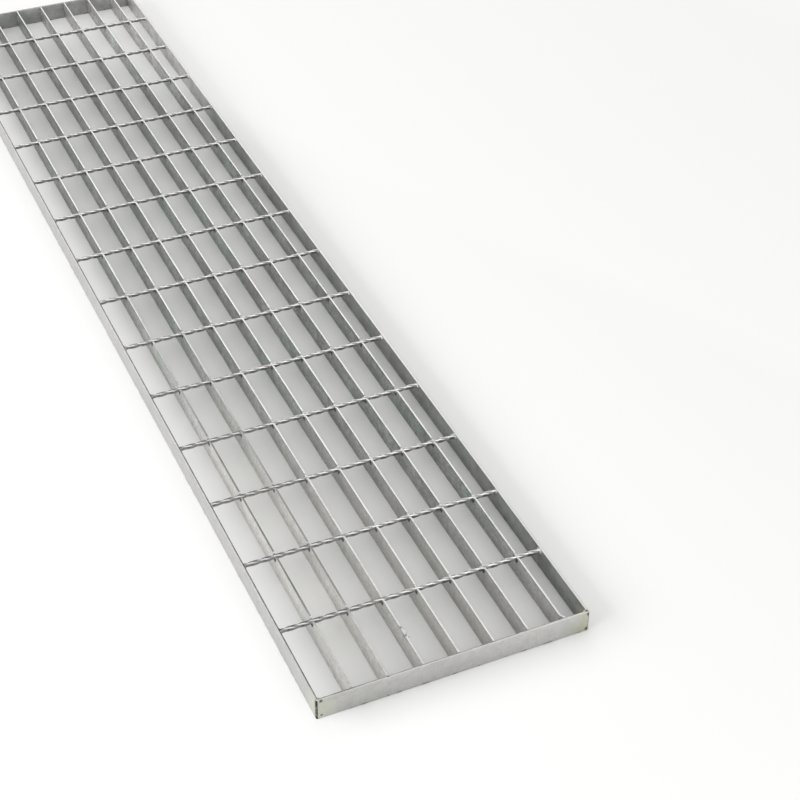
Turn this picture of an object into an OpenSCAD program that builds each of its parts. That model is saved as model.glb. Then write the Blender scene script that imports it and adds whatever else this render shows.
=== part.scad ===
// Steel grating panel with forge-welded twisted cross rods.
// A mat of flat bearing bars on edge, cross rods pressed into their tops,
// and a frame of flat banding bars welded round it.
// The panel lies flat: length along X, width along Y, walking face up.
// Origin: centre of the panel on its resting face.

/* [Panel] */
// Overall length, over the two end bands
panel_l = 1500; // [600:1:3000]
// Overall width, over the two side bands
panel_w = 290; // [150:1:1000]

/* [Bearing bars] */
// Height of the bearing bars, and of the banding that frames them
bar_h = 25; // [20:1:60]
// Thickness of one bearing bar
bar_t = 2; // [1.5:0.5:6]
// Spacing of the bearing bars, centre to centre
bar_pitch = 37.3; // [20:0.1:70]
// Centre of the left side band to the centre of the first bearing bar
first_gap = 35.4; // [15:0.1:70]
// Least clear space kept between the last bearing bar and the right side band
least_gap = 8; // [5:0.5:20]

/* [Cross rods] */
// Side of the square rod that is twisted
rod_w = 4; // [3:0.1:8]
// Length in which the rod makes one full turn
rod_lead = 55; // [30:1:120]
// Spacing of the cross rods, centre to centre
rod_pitch = 100; // [40:0.5:120]
// Depth of the rod's ridges below the tops of the bearing bars
rod_sink = 0; // [0:0.1:3]
// Least clear space kept between the outermost rods and the end bands
rod_end_gap = 60; // [20:1:80]

/* [Forge welds] */
// Depth to which the bar tops are pressed down round each rod
press_d = 1.2; // [0.2:0.1:3]
// Length of the pressed place beyond the rod, on each side of it
press_side = 0.8; // [0:0.1:4]

/* [Banding] */
// Thickness of the two side bands
side_t = 3; // [2:0.5:8]
// Thickness of the two end bands
end_t = 3; // [2:0.5:8]

/* [Hidden] */

// Room inside the banding
in_l = panel_l - 2 * end_t;
in_w = panel_w - 2 * side_t;

// Bearing bars, counted from the left side band
first_y = panel_w / 2 - side_t / 2 - first_gap;
last_y = -in_w / 2 + least_gap + bar_t / 2;
bar_n = floor((first_y - last_y) / bar_pitch) + 1;
bar_ys = [for (i = [0 : bar_n - 1]) first_y - i * bar_pitch];

// Cross rods, centred on the length
rod_r = rod_w / sqrt(2);
rod_z = bar_h - rod_sink - rod_r;
rod_n = floor((in_l - 2 * rod_end_gap - 2 * rod_r) / rod_pitch) + 1;
rod_xs = [for (k = [0 : rod_n - 1]) (k - (rod_n - 1) / 2) * rod_pitch];
rod_turn = 360 * in_w / rod_lead;
rod_slices = ceil(rod_turn / 30);

// One flat bar on edge, running along X
module flat_bar(length, thick) {
    translate([-length / 2, -thick / 2, 0])
        cube([length, thick, bar_h]);
}

// One square rod twisted cold, running along Y between the side bands
module twisted_rod() {
    translate([0, in_w / 2, rod_z])
        rotate([90, 0, 0])
            linear_extrude(height = in_w, twist = rod_turn, slices = rod_slices, segments = 4)
                square(rod_w, center = true);
}

// Bearing bars side by side, their tops pressed down where the rods cross
module bearing_bars() {
    press_l = 2 * (rod_r + press_side);
    difference() {
        for (y = bar_ys)
            translate([0, y, 0])
                flat_bar(in_l, bar_t);
        for (x = rod_xs)
            translate([x - press_l / 2, -in_w / 2, bar_h - press_d])
                cube([press_l, in_w, 2 * press_d]);
    }
}

// Bearing bars with the cross rods forged into their tops
module mat() {
    color("#a9adab") {
        bearing_bars();
        for (x = rod_xs)
            translate([x, 0, 0])
                twisted_rod();
    }
}

// Flat bar welded along the rod ends, on the left or the right
module side_band(side) {
    color("#c9ccc8")
        translate([0, side * (panel_w - side_t) / 2, 0])
            flat_bar(in_l, side_t);
}

// Flat bar welded across the ends of the bearing bars and side bands
module end_band(side) {
    color("#bdbfba")
        translate([side * (panel_l - end_t) / 2, 0, 0])
            rotate([0, 0, 90])
                flat_bar(panel_w, end_t);
}

mat();
side_band(1);  // side_band_left
side_band(-1);  // side_band_right
end_band(-1);  // end_band_near
end_band(1);  // end_band_far
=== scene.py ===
"""Galvanised steel grating panel: bearing bars, twisted cross rods and welded banding."""
import math
import random

import bpy
from mathutils import Euler, Matrix, Vector


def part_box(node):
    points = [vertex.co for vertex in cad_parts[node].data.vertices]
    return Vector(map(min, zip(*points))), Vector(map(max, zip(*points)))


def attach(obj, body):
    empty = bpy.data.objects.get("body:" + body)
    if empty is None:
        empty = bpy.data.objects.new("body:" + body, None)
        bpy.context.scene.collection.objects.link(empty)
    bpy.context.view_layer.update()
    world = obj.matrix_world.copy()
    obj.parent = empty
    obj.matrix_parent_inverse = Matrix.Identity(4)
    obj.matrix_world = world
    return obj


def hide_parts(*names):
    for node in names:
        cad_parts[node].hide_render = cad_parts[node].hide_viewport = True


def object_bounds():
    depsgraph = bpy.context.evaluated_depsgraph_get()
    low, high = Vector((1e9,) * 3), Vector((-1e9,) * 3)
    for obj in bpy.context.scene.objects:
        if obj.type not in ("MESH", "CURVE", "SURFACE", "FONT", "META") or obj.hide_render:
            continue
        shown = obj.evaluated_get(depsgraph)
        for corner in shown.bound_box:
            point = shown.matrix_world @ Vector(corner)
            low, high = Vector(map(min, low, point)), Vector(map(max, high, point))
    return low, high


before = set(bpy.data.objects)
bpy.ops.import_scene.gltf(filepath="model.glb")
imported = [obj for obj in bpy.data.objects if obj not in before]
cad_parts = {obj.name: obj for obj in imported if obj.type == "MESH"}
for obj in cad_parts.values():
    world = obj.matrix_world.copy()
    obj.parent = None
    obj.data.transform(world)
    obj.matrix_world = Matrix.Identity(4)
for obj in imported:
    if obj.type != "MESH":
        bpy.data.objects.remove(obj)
cad_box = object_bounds()

# Sizes of the stock, in metres
BAR_T = 0.002
BAR_PITCH = 0.0373
FIRST_GAP = 0.0354
BAR_COUNT = 7
ROD_SIDE = 0.004
ROD_LEAD = 0.055
ROD_PITCH = 0.1
ROD_COUNT = 14
PRESS_DEPTH = 0.0012
PRESS_SIDE = 0.0008

# Edges and small forms, in metres
BAR_EDGE = 0.0002
BAND_EDGE = 0.0005
ROD_EDGE = 0.0004
PRESS_RAMP = 0.0012
SEAM_EDGE = 0.0009
INNER_EDGE = 0.0008
CORNER_EDGE = 0.0017
KINK_LENGTH = 0.005
KINK_ASIDE = 0.0035

# A rod is cut into twice this many lengths, so that its twist is smooth
ROD_STEPS = 92
# Creases sharper than these angles stay sharp, on stock and on beads
SMOOTH_ANGLE = math.radians(25)
BEAD_ANGLE = math.radians(60)

# Slack in metres when places are compared
SLACK = 1e-5
# Share of an edge's length that counts as along an axis
ALONG = 0.999
# A face counts as looking toward an axis where its normal has at least this much of it
SLANT = 0.2

# Beads: reach along the panel, across it and upright, how far their middles lie below the top,
# and how much they stray and differ in size
FLASH_SIZE = (0.0046, 0.0021, 0.0026)
FLASH_DROP = 0.0036
FLASH_STRAY = 0.0004
FLASH_GROWTH = (0.85, 1.15)
ROD_WELD_SIZE = (0.0045, 0.0022, 0.0026)
ROD_WELD_DROP = 0.0034
ROD_WELD_STRAY = 0.001
WELD_GROWTH = (0.8, 1.2)
BAR_WELD_SIZE = (0.0022, 0.0022, 0.0085)
BAR_WELD_DROP = 0.0092
TACK_SIZE = (0.0028, 0.0034, 0.0019)
TACK_DROP = 0.0022
CORNER_TACK_SIZE = (0.0024, 0.0022, 0.0021)
CORNER_TACK_DROP = 0.0024
# How far the tacks stand in from the end bands and the side bands, and beside the first bar
TACK_INWARD = 0.001
TACK_ASIDE = 0.0015
CORNER_TACK_INWARD = 0.0008
CORNER_TACK_ASIDE = 0.0004

# Dark pits in the banding at the near corners: place and reach
DARK_PITS = (
    ((-0.75, 0.1397, 0.0045), 0.0016),
    ((-0.75, -0.1435, 0.0225), 0.0028),
    ((-0.7472, -0.1422, 0.0250), 0.0020),
    ((-0.75, -0.1430, 0.0030), 0.0034),
    ((-0.75, 0.1400, 0.0235), 0.0022),
    ((-0.7475, 0.0708, 0.0250), 0.0017),
)

# Drips of zinc beside the top of the third bar, near its near end: place and reach each way
DRIPS = (
    ((-0.7000, 0.0322, 0.0232), (0.0026, 0.0024, 0.0017)),
    ((-0.7070, 0.0322, 0.0234), (0.0015, 0.0024, 0.0015)),
)

# Dark pits beside those drips: place and reach
DRIP_PITS = (
    ((-0.6945, 0.0338, 0.0250), 0.0020),
    ((-0.7060, 0.0330, 0.0250), 0.0022),
    ((-0.7040, 0.0345, 0.0225), 0.0024),
)

# Painted shadow on the bar sides under each rod at the crossings: its middle's depth, and its
# reach
CROSSING_SHADOW_DROP = 0.0044
CROSSING_SHADOW_REACH = 0.0047
# The flash there is painted black between these depths, as shadow
FLASH_SHADOW_FROM = 0.0016
FLASH_SHADOW_TO = 0.003

# Camera: place in metres, turns in degrees and focal length in millimetres
CAMERA_PLACE = (-1.807, 0.546, 1.277)
LOOK_DOWN = 38.40
LOOK_HEADING = -24.59
CAMERA_ROLL = 0.57
LENS = 80.65
SENSOR = 36

# Painted light on the bar sides: tone, and the slanting line past which the near left corner is
# lit
BAR_TONE = 0.7
LIGHT_SLANT = 2.0
LIGHT_FROM = -0.58
LIGHT_TO = -0.22
# The same slant at the far right corner, and how much lighter the bar sides are painted beyond it
FAR_LIGHT_FROM = 0.6
FAR_LIGHT_TO = 0.74
FAR_LIFT = 0.47
# Painted reflection: faint green-blue on the faces inside the panel, away from the two light
# corners
COOL_REFLECTION_TINT = (0.96, 1.0, 0.985, 1)
# Painted shade on the banding's inner faces, its tone: at the near end of the side bands, from
# this place along them on, and on the end bands
INNER_NEAR_TONE = 0.44
INNER_TONE = 0.6
INNER_EVEN_FROM = -0.3
INNER_END_TONE = 0.73
# How far outside the banding's inner planes a place still is on an inner face, and no longer is
INNER_SURE = 0.0003
INNER_OVER = 0.0006
# How close inside the end bands' inner planes a place has their tone, and hasn't it yet
END_SURE = 0.0001
END_OVER = 0.0004
# Share of a normal that points up: level faces have at least the first, upright ones at most
# the second
LEVEL = 0.95
UPRIGHT = 0.6
# Clear of the near end, painted shade darkens the first bars' tops between these places on X
SHADED_TOPS_FROM = -0.67
SHADED_TOPS_TO = -0.63
# The first bars' sides are painted lighter still: half as much here as from SHADED_TOPS_TO on
LIT_SIDES_FROM = SHADED_TOPS_TO - 0.07

# Zinc's patterns, in features to the metre
GREEN_CLOUDS = 11.0
CLOUDS = 14.0
VIOLET_CLOUDS = 17.0
RUNS = 240.0
STREAKS = 120.0
SPANGLE = 150.0
GRAINS = 330.0
FINE_GRAINS = 700.0
FLECKS = 900.0
SMUDGES = 32.0
RUBBING = 90.0
DENTS = 160.0
NICKS = 75.0
PINHOLE_PLACES = 31.0
PINHOLES = 38.0
BAND_BLOTCHES = 120.0
SEAM_BLOTCHES = 260.0
PATCHES = 300.0
ROD_GLOSS = 420.0
WELD_STAINS = 120.0
WELD_SPOTS = 700.0
# How far the patterns are drawn out along each axis: small is long
RUN_STRETCH = (1.0, 1.0, 0.12)
STREAK_STRETCH = (0.05, 1.0, 1.0)
RUBBING_STRETCH = (0.4, 1.0, 1.0)

# Hues and stains in the zinc
GREEN_HUE = (0.84, 1.0, 0.90, 1)
VIOLET_HUE = (0.97, 0.88, 0.97, 1)
PALE_STAIN = (0.60, 0.62, 0.48, 1)
OLIVE_STAIN = (0.46, 0.46, 0.30, 1)
WELD_STAIN = (0.45, 0.42, 0.30, 1)
# The corner stains' height on the near band, and their full and farthest reach
STAIN_HEIGHT = 0.006
PALE_STAIN_REACH = (0.008, 0.03)
OLIVE_STAIN_REACH = (0.006, 0.026)
# Width of the dark strip along the banding's inner edge, and height of the dirty foot
LIP = 0.0019
FOOT = 0.0020
FOOT_SURE = 0.0008

# Studio: height of a direction, as a sine, below which it is dim and above which it is bright
DIM_BELOW = 0.1
BRIGHT_ABOVE = 0.6
# Distance from the panel's middle over which the floor fades to white
FADE_FROM = 0.9
FADE_TO = 1.5
# Painted light on the floor: how much lighter it is by the far right corner
FLOOR_LIFT = 0.28
FLOOR_COLOR = (0.82, 0.82, 0.81, 1)
FLOOR_SIZE = 80
# Gap under the panel, so that it doesn't share a plane with the floor
FLOOR_GAP = 0.0005

# The panel's own box, and the levels worked out from it
LOW = Vector(cad_box[0])
HIGH = Vector(cad_box[1])
TOP = HIGH.z
SIDE_T = HIGH.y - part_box("side_band_left")[0][1]
END_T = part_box("end_band_near")[1][0] - LOW.x
INNER_X = HIGH.x - END_T
INNER_Y = HIGH.y - SIDE_T
ROD_R = ROD_SIDE / math.sqrt(2)
ROD_Z = TOP - ROD_R
FIRST_Y = HIGH.y - SIDE_T / 2 - FIRST_GAP
BAR_YS = [FIRST_Y - i * BAR_PITCH for i in range(BAR_COUNT)]
ROD_XS = [(k - (ROD_COUNT - 1) / 2) * ROD_PITCH for k in range(ROD_COUNT)]

# The same draws in every run
chance = random.Random(11)


# ---------------------------------------------------------------- modelling

def pick(*pieces):
    """Select these pieces alone; the last one is the active one."""
    bpy.ops.object.select_all(action="DESELECT")
    for piece in pieces:
        piece.select_set(True)
    bpy.context.view_layer.objects.active = pieces[-1]


def settle(piece):
    """Put the object's place, turn and scale into its mesh."""
    pick(piece)
    bpy.ops.object.transform_apply(location=True, rotation=True, scale=True)


def apply_modifiers(piece):
    """Apply every modifier, top first."""
    pick(piece)
    for name in [m.name for m in piece.modifiers]:
        bpy.ops.object.modifier_apply(modifier=name)


def block(name, low, high):
    """A box between two corners."""
    low = Vector(low)
    high = Vector(high)
    bpy.ops.object.select_all(action="DESELECT")
    bpy.ops.mesh.primitive_cube_add(size=1, location=(low + high) / 2)
    piece = bpy.context.object
    piece.name = name
    piece.scale = high - low
    settle(piece)
    return piece


def edit_edges(piece, wanted):
    """Enter edit mode with the edges selected that wanted() accepts."""
    mesh = piece.data
    for edge in mesh.edges:
        ends = [mesh.vertices[i].co for i in edge.vertices]
        edge.select = wanted(*ends)
    for face in mesh.polygons:
        face.select = False
    chosen = {i for edge in mesh.edges if edge.select for i in edge.vertices}
    for vertex in mesh.vertices:
        vertex.select = vertex.index in chosen
    pick(piece)
    bpy.ops.object.mode_set(mode="EDIT")
    bpy.ops.mesh.select_mode(type="EDGE")


def leave_edit():
    """Back to object mode."""
    bpy.ops.object.mode_set(mode="OBJECT")


def bevel_edges(piece, wanted, width, segments=2):
    """Round the edges that wanted() accepts."""
    bpy.context.tool_settings.mesh_select_mode = (False, True, False)
    edit_edges(piece, wanted)
    bpy.ops.mesh.bevel(offset=width, segments=segments, affect="EDGES", clamp_overlap=True)
    leave_edit()


def runs_along(axis):
    """Accepts edges that run along one axis."""
    def wanted(a, b):
        step = b - a
        return abs(step[axis]) > ALONG * step.length
    return wanted


def upright(a, b):
    """Accepts edges that run the panel's height."""
    return abs(b.z - a.z) > 0.5 * (TOP - LOW.z)


def cut_across(piece, xs):
    """Cut the whole mesh by a plane at each x."""
    pick(piece)
    bpy.ops.object.mode_set(mode="EDIT")
    for x in xs:
        bpy.ops.mesh.select_all(action="SELECT")
        bpy.ops.mesh.bisect(plane_co=(x, 0, 0), plane_no=(1, 0, 0))
    leave_edit()


def move_vertices(piece, wanted, step):
    """Move the vertices whose place wanted() accepts."""
    mesh = piece.data
    for vertex in mesh.vertices:
        vertex.select = wanted(vertex.co)
    for group in (mesh.edges, mesh.polygons):
        for part in group:
            part.select = all(mesh.vertices[i].select for i in part.vertices)
    pick(piece)
    bpy.context.tool_settings.mesh_select_mode = (True, False, False)
    bpy.ops.object.mode_set(mode="EDIT")
    bpy.ops.transform.translate(value=step)
    leave_edit()


def copy_to(piece, offset, name, turn=None):
    """A copy with its own mesh, turned if asked, and moved."""
    twin = piece.copy()
    twin.data = piece.data.copy()
    twin.name = name
    bpy.context.scene.collection.objects.link(twin)
    if turn is not None:
        twin.matrix_world = turn
    twin.location = Vector(twin.location) + Vector(offset)
    settle(twin)
    return twin


def join(pieces, name):
    """Join the pieces into one named mesh."""
    pick(*pieces)
    bpy.ops.object.join()
    joined = bpy.context.object
    joined.name = name
    joined.data.name = name
    return joined


def smooth(piece, angle=SMOOTH_ANGLE):
    """Shade smooth, with creases sharper than the angle kept."""
    pick(piece)
    bpy.ops.object.shade_smooth_by_angle(angle=angle)


# ---------------------------------------------------------------- the mat

def bearing_bar():
    """One flat bar on edge with its arrises broken, along the first bar's line."""
    low = (-INNER_X, FIRST_Y - BAR_T / 2, LOW.z)
    high = (INNER_X, FIRST_Y + BAR_T / 2, TOP)
    bar = block("bearing_bar", low, high)
    bevel_edges(bar, runs_along(0), BAR_EDGE)
    return bar


def press_down(bars):
    """Press the bar tops down round each rod, with a ramp on either side."""
    half = ROD_R + PRESS_SIDE
    ramp = half + PRESS_RAMP
    cuts = [x + side * reach for x in ROD_XS for side in (-1, 1) for reach in (half, ramp)]
    cut_across(bars, cuts)
    crown = TOP - 2 * BAR_EDGE

    def pressed(place):
        near = min(abs(place.x - x) for x in ROD_XS)
        return place.z > crown and near < half + SLACK

    move_vertices(bars, pressed, (0, 0, -PRESS_DEPTH))


def kink_last_bar(bars):
    """Bend the near end of the last bar aside, as a knock has left it."""
    cut_across(bars, [-INNER_X + KINK_LENGTH])

    def knocked(place):
        return place.x < -INNER_X + SLACK and abs(place.y - BAR_YS[-1]) < BAR_T

    move_vertices(bars, knocked, (0, -KINK_ASIDE, 0))


def bearing_bars():
    """All the bearing bars as one mesh, pressed where the rods cross."""
    first = bearing_bar()
    bars = [first]
    for i in range(1, BAR_COUNT):
        bars.append(copy_to(first, (0, -i * BAR_PITCH, 0), "bearing_bar_%d" % i))
    bars = join(bars, "bearing_bars")
    press_down(bars)
    kink_last_bar(bars)
    return bars


def twisted_rod():
    """A square rod with rounded corners, cut into short lengths and twisted along Z."""
    half = ROD_SIDE / 2
    rod = block("rod", (-half, -half, -INNER_Y), (half, half, INNER_Y))
    bevel_edges(rod, runs_along(2), ROD_EDGE, segments=3)
    edit_edges(rod, runs_along(2))
    bpy.ops.mesh.subdivide(number_cuts=ROD_STEPS - 1)
    bpy.ops.mesh.subdivide(number_cuts=1)
    leave_edit()
    twist = rod.modifiers.new("twist", "SIMPLE_DEFORM")
    twist.deform_method = "TWIST"
    twist.deform_axis = "Z"
    turns = 2 * INNER_Y / ROD_LEAD
    twist.angle = 2 * math.pi * turns
    apply_modifiers(rod)
    return rod


def cross_rods():
    """Twisted rods side by side, each with its own start of twist."""
    model = twisted_rod()
    rods = []
    lay_down = Matrix.Rotation(math.radians(90), 4, "X")
    for k, x in enumerate(ROD_XS):
        start = Matrix.Rotation(chance.uniform(0, math.pi / 2), 4, "Z")
        rods.append(copy_to(model, (x, 0, ROD_Z), "rod_%d" % k, lay_down @ start))
    bpy.data.objects.remove(model)
    return join(rods, "cross_rods")


def mat(bar_finish, rod_finish):
    """Bars and rods forged into one mat, each with its own finish."""
    bars = bearing_bars()
    rods = cross_rods()
    for piece in (bars, rods):
        piece.data.materials.append(bar_finish)
        piece.data.materials.append(rod_finish)
    for face in rods.data.polygons:
        face.material_index = 1
    weld = bars.modifiers.new("forge", "BOOLEAN")
    weld.operation = "UNION"
    weld.solver = "MANIFOLD"
    weld.object = rods
    apply_modifiers(bars)
    bpy.data.objects.remove(rods)
    bars.name = "forged_mat"
    bars.data.name = "forged_mat"
    smooth(bars)
    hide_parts("mat")
    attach(bars, "root")


# ---------------------------------------------------------------- banding

def finish_faces(piece, finishes, darkened):
    """Give the band its two finishes; faces that darkened() accepts get the second, darker one."""
    for finish in finishes:
        piece.data.materials.append(finish)
    for face in piece.data.polygons:
        face.material_index = 1 if darkened(face.normal) else 0
    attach(piece, "root")


def at_seam(normal):
    """True for the bevels at the corner seams, which look along X and Y both."""
    return abs(normal.x) > SLANT and abs(normal.y) > SLANT


def side_banding(name, side, node, finishes):
    """A side band with broken arrises and bevelled ends for the corner seam."""
    inner = side * INNER_Y
    outer = side * HIGH.y
    low = (-INNER_X, min(inner, outer), LOW.z)
    high = (INNER_X, max(inner, outer), TOP)
    band = block(name, low, high)

    def inner_arris(a, b):
        return runs_along(0)(a, b) and abs(a.y - inner) < SLACK and a.z > 0.5 * TOP

    def outer_arris(a, b):
        return runs_along(0)(a, b) and abs(a.y - outer) < SLACK

    def outer_end(a, b):
        return upright(a, b) and abs(a.y - outer) < SLACK

    def darkened(normal):
        lip = side > 0 and normal.z > SLANT and normal.y < -SLANT
        return at_seam(normal) or lip

    bevel_edges(band, inner_arris, INNER_EDGE)
    bevel_edges(band, outer_arris, BAND_EDGE)
    bevel_edges(band, outer_end, SEAM_EDGE, segments=1)
    smooth(band)
    finish_faces(band, finishes, darkened)
    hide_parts(node)


def end_banding(name, side, node, finishes):
    """An end band with broken arrises and bevelled corners."""
    inner = side * INNER_X
    outer = side * HIGH.x
    low = (min(inner, outer), LOW.y, LOW.z)
    high = (max(inner, outer), HIGH.y, TOP)
    band = block(name, low, high)

    def seam(a, b):
        return upright(a, b) and abs(a.x - inner) < SLACK

    def corner(a, b):
        return upright(a, b) and side * a.x > INNER_X + 0.5 * END_T

    def arris(a, b):
        level = abs(b.z - a.z) < SLACK
        return level and abs(b.y - a.y) > 0.5 * (HIGH.y - LOW.y)

    def darkened(normal):
        lip = side < 0 and normal.z > SLANT and normal.x > SLANT
        return at_seam(normal) or lip

    bevel_edges(band, seam, SEAM_EDGE, segments=1)
    bevel_edges(band, corner, CORNER_EDGE, segments=1)
    bevel_edges(band, arris, BAND_EDGE)
    smooth(band)
    finish_faces(band, finishes, darkened)
    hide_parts(node)


# ---------------------------------------------------------------- welds

def bead(name, place, size):
    """A rounded bead, coarse because there are hundreds of them."""
    bpy.ops.object.select_all(action="DESELECT")
    bpy.ops.mesh.primitive_uv_sphere_add(segments=8, ring_count=5, radius=1, location=place)
    piece = bpy.context.object
    piece.name = name
    piece.scale = size
    settle(piece)
    return piece


def forge_flash():
    """The lip of metal squeezed out at each forged crossing, and the drips of zinc."""
    reach, width, height = FLASH_SIZE
    lumps = []
    for x in ROD_XS:
        for y in BAR_YS:
            grow = chance.uniform(*FLASH_GROWTH)
            place = (x + chance.uniform(-FLASH_STRAY, FLASH_STRAY), y, TOP - FLASH_DROP)
            lumps.append(bead("flash", place, (reach * grow, width * grow, height)))
    for place, size in DRIPS:
        lumps.append(bead("drip", place, size))
    flash = join(lumps, "forge_flash")
    smooth(flash, BEAD_ANGLE)
    return flash


def rod_end_welds():
    """A small bead where each rod meets the side bands."""
    reach, width, height = ROD_WELD_SIZE
    beads = []
    for x in ROD_XS:
        for side in (-1, 1):
            grow = chance.uniform(*WELD_GROWTH)
            stray = chance.uniform(-ROD_WELD_STRAY, ROD_WELD_STRAY)
            place = (x + stray, side * INNER_Y, TOP - ROD_WELD_DROP)
            beads.append(bead("rod_weld", place, (reach * grow, width, height * grow)))
    welds = join(beads, "rod_end_welds")
    smooth(welds, BEAD_ANGLE)
    return welds


def bar_end_welds():
    """An upright bead beside each bar end, and tacks at the outer bars and the near corners."""
    reach, width, height = BAR_WELD_SIZE
    beads = []
    for side in (-1, 1):
        for y in BAR_YS:
            grow = chance.uniform(*WELD_GROWTH)
            aside = KINK_ASIDE if side < 0 and y == BAR_YS[-1] else 0
            place = (side * INNER_X, y - BAR_T / 2 - aside, TOP - BAR_WELD_DROP)
            beads.append(bead("bar_weld", place, (reach, width * grow, height)))
        for y in (BAR_YS[0] + TACK_ASIDE, BAR_YS[-1] - KINK_ASIDE):
            place = (side * (INNER_X - TACK_INWARD), y, TOP - TACK_DROP)
            beads.append(bead("tack", place, TACK_SIZE))
    for side in (-1, 1):
        x = -INNER_X + CORNER_TACK_INWARD
        y = side * (INNER_Y - CORNER_TACK_ASIDE)
        beads.append(bead("tack", (x, y, TOP - CORNER_TACK_DROP), CORNER_TACK_SIZE))
    welds = join(beads, "bar_end_welds")
    smooth(welds, BEAD_ANGLE)
    return welds


# ---------------------------------------------------------------- materials

class Value:
    """An output socket that takes part in plain arithmetic."""

    def __init__(self, shade, socket):
        self.shade = shade
        self.socket = socket

    def maths(self, operation, a, b):
        return self.shade.maths(operation, a, b)

    def __add__(self, other):
        return self.maths("ADD", self, other)

    def __radd__(self, other):
        return self.maths("ADD", other, self)

    def __sub__(self, other):
        return self.maths("SUBTRACT", self, other)

    def __rsub__(self, other):
        return self.maths("SUBTRACT", other, self)

    def __mul__(self, other):
        return self.maths("MULTIPLY", self, other)

    def __rmul__(self, other):
        return self.maths("MULTIPLY", other, self)


class Shade:
    """A material's node tree, made node by node."""

    def __init__(self, name):
        self.material = bpy.data.materials.new(name)
        self.material.use_nodes = True
        self.tree = self.material.node_tree
        self.surface = self.tree.nodes["Principled BSDF"]
        self.place = self.node("ShaderNodeTexCoord", {}, {}, "Object")

    def connect(self, socket, value):
        """Link a value to a socket, or set the socket to a plain number or colour."""
        if isinstance(value, Value):
            self.tree.links.new(value.socket, socket)
        else:
            socket.default_value = value

    def node(self, kind, settings, inputs, output=0):
        """Any node: its type, its settings, its sockets and the output to use."""
        made = self.tree.nodes.new(kind)
        for name, setting in settings.items():
            setattr(made, name, setting)
        for name, value in inputs.items():
            self.connect(made.inputs[name], value)
        return Value(self, made.outputs[output])

    def maths(self, operation, *values):
        """A Math node on numbers and values."""
        return self.node("ShaderNodeMath", {"operation": operation}, dict(enumerate(values)))

    def ramp(self, value, low, high, start=0.0, end=1.0):
        """Goes from start to end while the value goes from low to high, and stays there."""
        ends = {"From Min": low, "From Max": high, "To Min": start, "To Max": end}
        return self.node("ShaderNodeMapRange", {"clamp": True}, {"Value": value, **ends}, "Result")

    def blend(self, amount, a, b, kind="MIX"):
        """Mix two colours, whose sockets are 6, 7 and 2 on the node."""
        settings = {"data_type": "RGBA", "blend_type": kind}
        return self.node("ShaderNodeMix", settings, {0: amount, 6: a, 7: b}, 2)

    def stretch(self, scale):
        """Places drawn out along the axes whose scale is small."""
        return self.node("ShaderNodeMapping", {}, {"Vector": self.place, "Scale": scale})

    def shifted(self, offset):
        """Places moved aside, so that a pattern differs from its neighbour."""
        return self.node("ShaderNodeMapping", {}, {"Vector": self.place, "Location": offset})

    def noise(self, scale, detail=3.0, rough=0.5, place=None):
        """Cloudy noise round a half."""
        inputs = {"Vector": place or self.place, "Scale": scale}
        inputs.update({"Detail": detail, "Roughness": rough})
        return self.node("ShaderNodeTexNoise", {}, inputs, "Fac")

    def smudges(self, low, high):
        """Soft smudges between two levels."""
        clouds = self.noise(SMUDGES, detail=4.0, rough=0.7)
        return self.ramp(clouds, 0.36, 0.62, start=low, end=high)

    def cells(self, scale, output):
        """A pattern of cells, by their colour or the distance from their middles."""
        inputs = {"Vector": self.place, "Scale": scale}
        return self.node("ShaderNodeTexVoronoi", {}, inputs, output)

    def spangle(self, scale):
        """Flat crystal patches, each with its own brightness."""
        inputs = {0: self.cells(scale, "Color")}
        return self.node("ShaderNodeSeparateColor", {}, inputs, "Red")

    def bump(self, height, distance, strength):
        """The surface's direction with fine relief on it."""
        inputs = {"Height": height, "Distance": distance, "Strength": strength}
        return self.node("ShaderNodeBump", {}, inputs)

    def coordinate(self, axis):
        """Place along one axis, in metres."""
        return self.node("ShaderNodeSeparateXYZ", {}, {0: self.place}, axis)

    def spot(self, place, inner, outer):
        """1 within inner of a place, falling to 0 at outer."""
        ends = {0: self.place, 1: place}
        away = self.node("ShaderNodeVectorMath", {"operation": "DISTANCE"}, ends, "Value")
        return self.ramp(away, outer, inner)

    def facing_up(self):
        """1 on level surfaces, 0 on upright ones."""
        turned = self.node("ShaderNodeNewGeometry", {}, {}, "Normal")
        return self.node("ShaderNodeSeparateXYZ", {}, {0: turned}, "Z")

    def inner_lip(self):
        """1 on the level strip along the inner edge of the banding, 0 elsewhere."""
        x = self.maths("ABSOLUTE", self.coordinate("X"))
        y = self.maths("ABSOLUTE", self.coordinate("Y"))
        inside_x = self.ramp(x, INNER_X + LIP, INNER_X + 0.6 * LIP)
        inside_y = self.ramp(y, INNER_Y + LIP, INNER_Y + 0.6 * LIP)
        return inside_x * inside_y * self.ramp(self.facing_up(), 0.5, 0.7)

    def aside(self):
        """Distance along X from the nearest rod."""
        first = ROD_XS[0]
        reach = ROD_PITCH / 2
        return self.maths("WRAP", self.coordinate("X"), first + reach, first - reach) - first

    def off_line(self, aside, height):
        """Distance from a line across the panel, set at a place beside every rod."""
        along = self.aside() - aside
        rise = self.coordinate("Z") - height
        return self.maths("SQRT", along * along + rise * rise)

    def slanting(self):
        """Place along the panel, measured so that it slants across the width."""
        return self.coordinate("X") - LIGHT_SLANT * self.coordinate("Y")

    def near_light_corner(self):
        """Painted light: 1 toward the near left corner, falling to 0 across a slanting line."""
        return self.ramp(self.slanting(), LIGHT_TO, LIGHT_FROM)

    def far_light_corner(self):
        """Painted light: 1 toward the far right corner, falling to 0 across a slanting line."""
        return self.ramp(self.slanting(), FAR_LIGHT_FROM, FAR_LIGHT_TO)

    def finish(self, color, rough, normal=None, metallic=0.6):
        """Connect the finish to the surface."""
        self.connect(self.surface.inputs["Base Color"], color)
        self.connect(self.surface.inputs["Roughness"], rough)
        self.surface.inputs["Metallic"].default_value = metallic
        if normal is not None:
            self.connect(self.surface.inputs["Normal"], normal)
        return self.material


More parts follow.
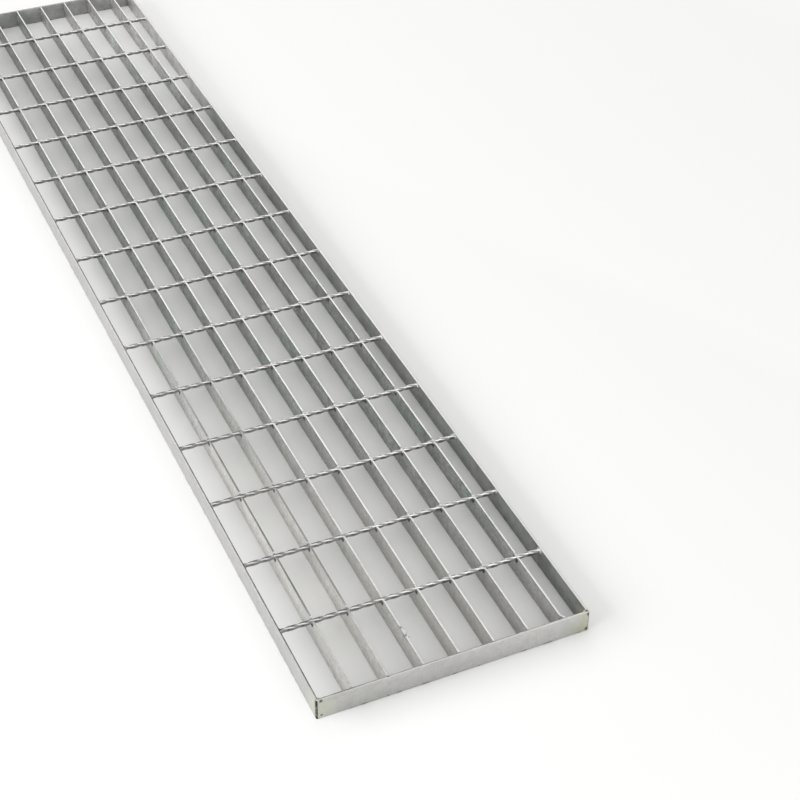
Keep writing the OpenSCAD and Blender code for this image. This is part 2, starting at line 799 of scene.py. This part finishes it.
def grey(level, warm=0.0):
    """A grey, a touch yellow when warm is positive and blue when negative."""
    return (level * (1 + warm), level, level * (1 - 2 * warm), 1)


# Greys of the zinc, of what lies on it, and of painted light and shade
PALE_ZINC = grey(0.56, 0.01)
# The bars' zinc is a darker copy of the bands', as painted shade between the bars
SHADED_BAR_ZINC = grey(0.40, 0.01)
BAND_ZINC = grey(0.51, 0.01)
# Zinc facing up: rubbed, and lighter as a painted highlight
RUBBED_AND_LIT_ZINC = grey(0.64, 0.01)
DULL_SIDE = grey(0.40, 0.025)
FLECK = grey(0.1)
PINHOLE = grey(0.1, 0.05)
PIT = grey(0.05, 0.06)
DRIP_PIT = grey(0.08, 0.03)
LIP_DARK_GREY = grey(0.07, 0.05)
FOOT_DIRT = grey(0.05)
# Black of the painted shadows at the crossings
SHADOW_BLACK = grey(0.02)
# The rods' painted light and shade: hollows, far side, ridge highlight and underside
ROD_HOLLOW_SHADE = grey(0.13)
ROD_BACK_SHADE = grey(0.06)
# Ridge highlight and underside shade, each also as they are toward the near left corner
ROD_RIDGE_HIGHLIGHT = grey(0.92, 0.01)
ROD_RIDGE_HIGHLIGHT_NEAR = grey(0.70, 0.01)
ROD_UNDER_SHADE = grey(0.20, 0.01)
ROD_UNDER_SHADE_NEAR = grey(0.42, 0.01)


def clouded(shade, light, dark, grain, tint):
    """Zinc's colour: clouds, spangle, fine grain, streaks both ways and a faint hue."""
    clouds = shade.noise(CLOUDS, detail=4.0, rough=0.6)
    runs = shade.noise(RUNS, rough=0.6, place=shade.stretch(RUN_STRETCH))
    streaks = shade.noise(STREAKS, rough=0.6, place=shade.stretch(STREAK_STRETCH))
    mix = 0.4 * clouds + 0.24 * runs + 0.18 * streaks + 0.18 * shade.spangle(SPANGLE)
    color = shade.blend(shade.ramp(mix, 0.42, 0.58), dark, light)

    flecks = shade.noise(FLECKS, detail=2.0, rough=0.7)
    color = shade.blend(shade.ramp(flecks, 0.5, 0.75, end=grain), color, FLECK)
    coarse = shade.noise(GRAINS, detail=2.0, rough=0.6)
    fine = shade.noise(FINE_GRAINS, detail=2.0, rough=0.7)
    grains = 0.6 * coarse + 0.4 * fine
    tone = shade.ramp(grains, 0.38, 0.62, start=1 - grain, end=1 + 0.4 * grain)
    color = shade.blend(1.0, color, tone, "MULTIPLY")

    green = shade.ramp(shade.noise(GREEN_CLOUDS, detail=2.0), 0.45, 0.62, end=tint)
    elsewhere = shade.shifted((3.0, 1.0, 2.0))
    violet = shade.noise(VIOLET_CLOUDS, detail=2.0, place=elsewhere)
    violet = shade.ramp(violet, 0.48, 0.62, end=tint)
    color = shade.blend(green, color, GREEN_HUE, "MULTIPLY")
    color = shade.blend(violet, color, VIOLET_HUE, "MULTIPLY")
    return color, grains, clouds


def zinc(name, light, dark, grain, tint, rub_and_highlight, trim):
    """Hot-dip zinc, lighter facing up from rubbing and a painted highlight; marks from trim()."""
    shade = Shade(name)
    color, grains, clouds = clouded(shade, light, dark, grain, tint)
    # Faces that look up are lighter: rubbed wear, and a painted highlight
    rubbing = shade.noise(RUBBING, rough=0.6, place=shade.stretch(RUBBING_STRETCH))
    wear = shade.ramp(rubbing, 0.35, 0.6, start=0.6)
    worn_and_lit = shade.ramp(shade.facing_up(), UPRIGHT, LEVEL, end=rub_and_highlight) * wear
    color = shade.blend(worn_and_lit, color, RUBBED_AND_LIT_ZINC)
    color = trim(shade, color)
    rough = shade.ramp(0.6 * grains + 0.4 * clouds, 0.3, 0.7, start=0.32, end=0.5)
    height = 0.6 * shade.noise(DENTS, detail=2.0) + 0.4 * grains
    return shade.finish(color, rough, shade.bump(height, distance=0.0004, strength=0.3))


def bar_shades(shade, color):
    """Painted light on bar sides, painted shade on tops and under rods; smudges, drip pits."""
    x = shade.coordinate("X")
    y = shade.coordinate("Y")
    near = shade.near_light_corner()
    far = shade.far_light_corner()
    up = shade.ramp(shade.facing_up(), UPRIGHT, LEVEL)
    upright_face = 1 - up

    # Painted light: sides lighter toward the near left corner, most on the left, and toward the
    # far right corner
    middle = shade.ramp(y, -0.42 * INNER_Y, 0.42 * INNER_Y, start=0.9, end=1.25)
    left = shade.ramp(y, 0.35 * INNER_Y, 0.8 * INNER_Y, end=0.6)
    left = left * shade.ramp(x, LIT_SIDES_FROM, SHADED_TOPS_TO, start=0.5)
    side_light = BAR_TONE + near * (middle + left - BAR_TONE) + FAR_LIFT * far

    # Painted shade on the tops toward the near left corner, most on the first bars
    darkened = shade.ramp(y, 0.1 * INNER_Y, 0.6 * INNER_Y, end=0.3)
    first_bars = shade.ramp(y, 0.3 * INNER_Y, 0.46 * INNER_Y, end=0.42)
    darkened = darkened + first_bars * shade.ramp(x, SHADED_TOPS_FROM, SHADED_TOPS_TO)
    top_shade = 1 - near * darkened

    color = shade.blend(upright_face * (0.6 * near), color, DULL_SIDE)
    inner = upright_face * (1 - near)
    # A painted reflection: faint green-blue on the inner bar sides
    color = shade.blend(inner * (1 - far), color, COOL_REFLECTION_TINT, "MULTIPLY")
    color = shade.blend(1.0, color, up * top_shade + upright_face * side_light, "MULTIPLY")
    color = shade.blend(inner, color, shade.smudges(0.82, 1.12), "MULTIPLY")
    for place, reach in DRIP_PITS:
        pit = shade.spot(place, 0.4 * reach, reach)
        color = shade.blend(0.8 * pit, color, DRIP_PIT)
    # Painted shadow: black on the bar sides just below each rod at the crossings
    depth = shade.off_line(0.0, TOP - CROSSING_SHADOW_DROP)
    crossing_shadow = shade.ramp(depth, CROSSING_SHADOW_REACH, 0.8 * CROSSING_SHADOW_REACH)
    return shade.blend(upright_face * crossing_shadow, color, SHADOW_BLACK)


def shaded_inner_faces(shade, color):
    """Painted shade: the banding's upright inner faces darker, except by the far right corner."""
    x = shade.coordinate("X")
    out_x = shade.maths("ABSOLUTE", x)
    out_y = shade.maths("ABSOLUTE", shade.coordinate("Y"))
    inside = shade.ramp(out_x, INNER_X + INNER_OVER, INNER_X + INNER_SURE)
    inside = inside * shade.ramp(out_y, INNER_Y + INNER_OVER, INNER_Y + INNER_SURE)
    inside = inside * shade.ramp(shade.facing_up(), LEVEL, UPRIGHT)
    far = shade.far_light_corner()
    # The painted shade is deepest at the near end of the side bands, lighter by the far right
    # corner
    level = shade.ramp(x, LOW.x, INNER_EVEN_FROM, INNER_NEAR_TONE, INNER_TONE) + 0.5 * far
    end = shade.ramp(out_x, INNER_X - END_OVER, INNER_X - END_SURE)
    level = level + end * (INNER_END_TONE - level)
    level = level * shade.smudges(0.74, 1.16)
    color = shade.blend(1.0, color, 1 - inside * (1 - level), "MULTIPLY")
    # A painted reflection: faint green-blue on the inner faces
    return shade.blend(inside * (1 - far), color, COOL_REFLECTION_TINT, "MULTIPLY")


def band_shade_and_marks(shade, color):
    """Painted shade on inner faces and the left; dark lip, dirty foot, pinholes, stains and pits.
    """
    y = shade.coordinate("Y")
    # Painted light and shade: the banding darker toward the left side and lighter toward the right
    tone = shade.ramp(y, HIGH.y, LOW.y, start=0.90, end=1.04)
    color = shade.blend(1.0, color, tone, "MULTIPLY")
    color = shaded_inner_faces(shade, color)

    blotchy = shade.ramp(shade.noise(BAND_BLOTCHES, rough=0.7), 0.35, 0.5, start=0.6)
    right = shade.ramp(y, LOW.y, -0.3 * INNER_Y, start=0.1, end=0.55)
    left = shade.ramp(y, 0.65 * INNER_Y, 0.8 * INNER_Y, end=0.4)
    # A dark strip along the banding's inner lip, stronger toward the two sides
    lip_dark = (right + left) * blotchy * shade.inner_lip()
    color = shade.blend(lip_dark, color, LIP_DARK_GREY)

    nicks = shade.ramp(shade.noise(NICKS, detail=2.0), 0.55, 0.6)
    foot = shade.ramp(shade.coordinate("Z"), FOOT, FOOT_SURE)
    color = shade.blend(0.8 * nicks * foot, color, FOOT_DIRT)

    some = shade.ramp(shade.noise(PINHOLE_PLACES, detail=1.0), 0.5, 0.54)
    holes = shade.ramp(shade.cells(PINHOLES, "Distance"), 0.045, 0.025)
    color = shade.blend(some * holes, color, PINHOLE)

    pale = shade.spot((LOW.x, HIGH.y, STAIN_HEIGHT), *PALE_STAIN_REACH)
    color = shade.blend(0.5 * pale, color, PALE_STAIN)
    olive = shade.spot((LOW.x, LOW.y, STAIN_HEIGHT), *OLIVE_STAIN_REACH)
    color = shade.blend(0.7 * olive * blotchy, color, OLIVE_STAIN)
    for place, reach in DARK_PITS:
        pit = shade.spot(place, 0.5 * reach, reach)
        color = shade.blend(0.9 * pit, color, PIT)
    return color


def flash_zinc():
    """Zinc on the forged crossings, painted black as shadow low beside the rods."""
    shade = Shade("flash_zinc")
    patches = shade.ramp(shade.noise(PATCHES, detail=2.0), 0.35, 0.6, start=0.4, end=0.8)
    color = shade.blend(patches, grey(0.3), grey(0.85))
    z = shade.coordinate("Z")
    # Painted shadow: the low part of the flash is black
    low = shade.ramp(z, TOP - FLASH_SHADOW_FROM, TOP - FLASH_SHADOW_TO)
    color = shade.blend(low, color, SHADOW_BLACK)
    return shade.finish(color, 0.6, metallic=0.0)


def rod_zinc():
    """Zinc on twisted rods: top ridges rubbed and painted bright, the rest in painted shade."""
    shade = Shade("rod_zinc")
    z = shade.coordinate("Z")
    # Painted highlight along the top of each rod, on the ridges of the twist
    up = shade.ramp(z, ROD_Z + 0.25 * ROD_SIDE, ROD_Z + 0.48 * ROD_SIDE)
    outward = shade.off_line(0.0, ROD_Z)
    ridge = shade.ramp(outward, 0.52 * ROD_SIDE, 0.6 * ROD_SIDE, start=0.3)
    patches = shade.noise(PATCHES, detail=2.0, rough=0.6)
    patches = shade.ramp(patches, 0.35, 0.65, start=0.82)
    # Toward the near left corner the painted highlight is dimmer, the underside shade paler and
    # the far side darker
    left = shade.near_light_corner() * shade.ramp(shade.coordinate("Y"), 0.0, 0.5 * INNER_Y)
    bright = shade.blend(left, ROD_RIDGE_HIGHLIGHT, ROD_RIDGE_HIGHLIGHT_NEAR)
    color = shade.blend(up * ridge * patches, ROD_HOLLOW_SHADE, bright)

    # Painted shade on the undersides
    under = shade.ramp(z, ROD_Z + 0.14 * ROD_SIDE, ROD_Z - 0.1 * ROD_SIDE, end=0.8)
    shaded = shade.blend(left, ROD_UNDER_SHADE, ROD_UNDER_SHADE_NEAR)
    color = shade.blend(under, color, shaded)
    # Painted shade on the far side of each rod
    back = shade.ramp(shade.aside(), -0.12 * ROD_SIDE, 0.08 * ROD_SIDE)
    color = shade.blend(back * (0.4 + 0.55 * left), color, ROD_BACK_SHADE)
    rough = shade.ramp(shade.noise(ROD_GLOSS, detail=2.0), 0.3, 0.7, start=0.25, end=0.42)
    return shade.finish(color, rough)


def seam_zinc():
    """Dark grey in the corner seams, with flux in them, and along the left and near bands' inner
    lip.
    """
    shade = Shade("seam_zinc")
    patches = shade.ramp(shade.noise(SEAM_BLOTCHES, rough=0.7), 0.5, 0.66)
    color = shade.blend(patches, grey(0.03), grey(0.25, 0.03))
    return shade.finish(color, 0.6)


def weld_metal():
    """Zinc over a weld: duller, rougher and slightly yellow."""
    shade = Shade("weld_zinc")
    spots = shade.noise(WELD_SPOTS)
    stain = shade.ramp(shade.noise(WELD_STAINS, detail=2.0), 0.4, 0.65)
    color = shade.blend(shade.ramp(spots, 0.35, 0.65), grey(0.22, 0.02), grey(0.6))
    color = shade.blend(0.35 * stain, color, WELD_STAIN)
    rough = shade.ramp(spots, 0.3, 0.7, start=0.6, end=0.35)
    return shade.finish(color, rough, shade.bump(spots, distance=0.0006, strength=0.6))


def dress(piece, material):
    """Give a piece its finish and its slot, and let it ride on the panel."""
    piece.data.materials.clear()
    piece.data.materials.append(material)
    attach(piece, "root")


# ---------------------------------------------------------------- stage

def seen_directly(tree):
    """1 for what the camera sees, straight or mirrored in metal; 0 for the light that falls."""
    path = tree.nodes.new("ShaderNodeLightPath")
    total = path.outputs["Is Camera Ray"]
    for name in ("Is Glossy Ray", "Is Transmission Ray"):
        either = tree.nodes.new("ShaderNodeMath")
        either.operation = "MAXIMUM"
        tree.links.new(total, either.inputs[0])
        tree.links.new(path.outputs[name], either.inputs[1])
        total = either.outputs[0]
    return total


def floor():
    """A pale floor that keeps the shadow, partly lifted by painted light; white farther out."""
    bpy.ops.object.select_all(action="DESELECT")
    place = (0, 0, LOW.z - FLOOR_GAP)
    bpy.ops.mesh.primitive_plane_add(size=FLOOR_SIZE, location=place)
    ground = bpy.context.object
    ground.name = "floor"
    shade = Shade("floor")
    shade.surface.inputs["Base Color"].default_value = FLOOR_COLOR
    shade.surface.inputs["Roughness"].default_value = 0.9
    shade.surface.inputs["Specular IOR Level"].default_value = 0

    length = {"operation": "LENGTH"}
    away = shade.node("ShaderNodeVectorMath", length, {0: shade.place}, "Value")
    # Painted light: the floor's shadow is lifted beside the left band and by the far right corner
    left = shade.ramp(shade.coordinate("Y"), 0.7 * INNER_Y, 0.95 * INNER_Y, end=0.5)
    painted_lift = shade.maths("MAXIMUM", left, FLOOR_LIFT * shade.far_light_corner())
    fade = shade.maths("MAXIMUM", shade.ramp(away, FADE_FROM, FADE_TO), painted_lift)
    seen = Value(shade, seen_directly(shade.tree))
    white = shade.node("ShaderNodeEmission", {}, {"Strength": 1.0})
    plain = Value(shade, shade.surface.outputs[0])
    mix = shade.node("ShaderNodeMixShader", {}, {0: fade * seen, 1: plain, 2: white})
    output = shade.tree.nodes["Material Output"]
    shade.connect(output.inputs["Surface"], mix)
    ground.data.materials.append(shade.material)


def soft_light(name, place, aim, size, power):
    """A large soft lamp that faces a point."""
    data = bpy.data.lights.new(name, "AREA")
    data.shape = "RECTANGLE"
    data.size, data.size_y = size
    data.energy = power
    lamp = bpy.data.objects.new(name, data)
    lamp.location = place
    away = Vector(place) - Vector(aim)
    lamp.rotation_euler = away.to_track_quat("Z", "Y").to_euler()
    bpy.context.scene.collection.objects.link(lamp)


def world_light(low, high):
    """A studio that is dim near the horizon and bright overhead; the camera sees white."""
    world = bpy.data.worlds.new("studio")
    world.use_nodes = True
    tree = world.node_tree
    background = tree.nodes["Background"]
    background.inputs["Color"].default_value = (1, 1, 1, 1)
    way = tree.nodes.new("ShaderNodeTexCoord")
    parts = tree.nodes.new("ShaderNodeSeparateXYZ")
    climb = tree.nodes.new("ShaderNodeMapRange")
    climb.interpolation_type = "SMOOTHSTEP"
    climb.inputs["From Min"].default_value = DIM_BELOW
    climb.inputs["From Max"].default_value = BRIGHT_ABOVE
    climb.inputs["To Min"].default_value = low
    climb.inputs["To Max"].default_value = high
    seen = tree.nodes.new("ShaderNodeMix")
    seen.inputs["B"].default_value = 1.0
    tree.links.new(way.outputs["Generated"], parts.inputs["Vector"])
    tree.links.new(parts.outputs["Z"], climb.inputs["Value"])
    tree.links.new(seen_directly(tree), seen.inputs["Factor"])
    tree.links.new(climb.outputs["Result"], seen.inputs["A"])
    tree.links.new(seen.outputs["Result"], background.inputs["Strength"])
    bpy.context.scene.world = world


def aim_camera():
    """Camera above the near left corner, looking along the panel."""
    data = bpy.data.cameras.new("camera")
    data.lens = LENS
    data.sensor_width = SENSOR
    camera = bpy.data.objects.new("camera", data)
    bpy.context.scene.collection.objects.link(camera)
    level = Euler((math.radians(90 - LOOK_DOWN), 0, math.radians(LOOK_HEADING - 90)))
    turn = level.to_matrix() @ Matrix.Rotation(math.radians(CAMERA_ROLL), 3, "Z")
    camera.location = CAMERA_PLACE
    camera.rotation_euler = turn.to_euler()
    bpy.context.scene.camera = camera


# ---------------------------------------------------------------- the panel

aim_camera()
world_light(low=0.3, high=0.9)
soft_light("left", place=(-0.3, 2.2, 1.1), aim=(0, 0, 0), size=(3.0, 1.2), power=48)
soft_light("front", place=(-2.6, -1.2, 1.4), aim=(-0.3, 0, 0), size=(2.0, 1.4), power=12)
soft_light("back", place=(2.8, -0.8, 2.3), aim=(0, 0, 0), size=(3.0, 2.0), power=22)
floor()

bar_look = {"light": PALE_ZINC, "dark": SHADED_BAR_ZINC, "grain": 0.5, "tint": 0.4, "rub_and_highlight": 0.9}
band_look = {"light": PALE_ZINC, "dark": BAND_ZINC, "grain": 0.08, "tint": 0.2, "rub_and_highlight": 0.15}
bar_finish = zinc("bar_zinc", trim=bar_shades, **bar_look)
banding = (zinc("band_zinc", trim=band_shade_and_marks, **band_look), seam_zinc())
dull_weld = weld_metal()

mat(bar_finish, rod_zinc())
side_banding("left_banding", 1, "side_band_left", banding)
side_banding("right_banding", -1, "side_band_right", banding)
end_banding("near_banding", -1, "end_band_near", banding)
end_banding("far_banding", 1, "end_band_far", banding)
dress(forge_flash(), flash_zinc())
dress(rod_end_welds(), dull_weld)
dress(bar_end_welds(), dull_weld)

bpy.context.scene.view_settings.view_transform = "Standard"
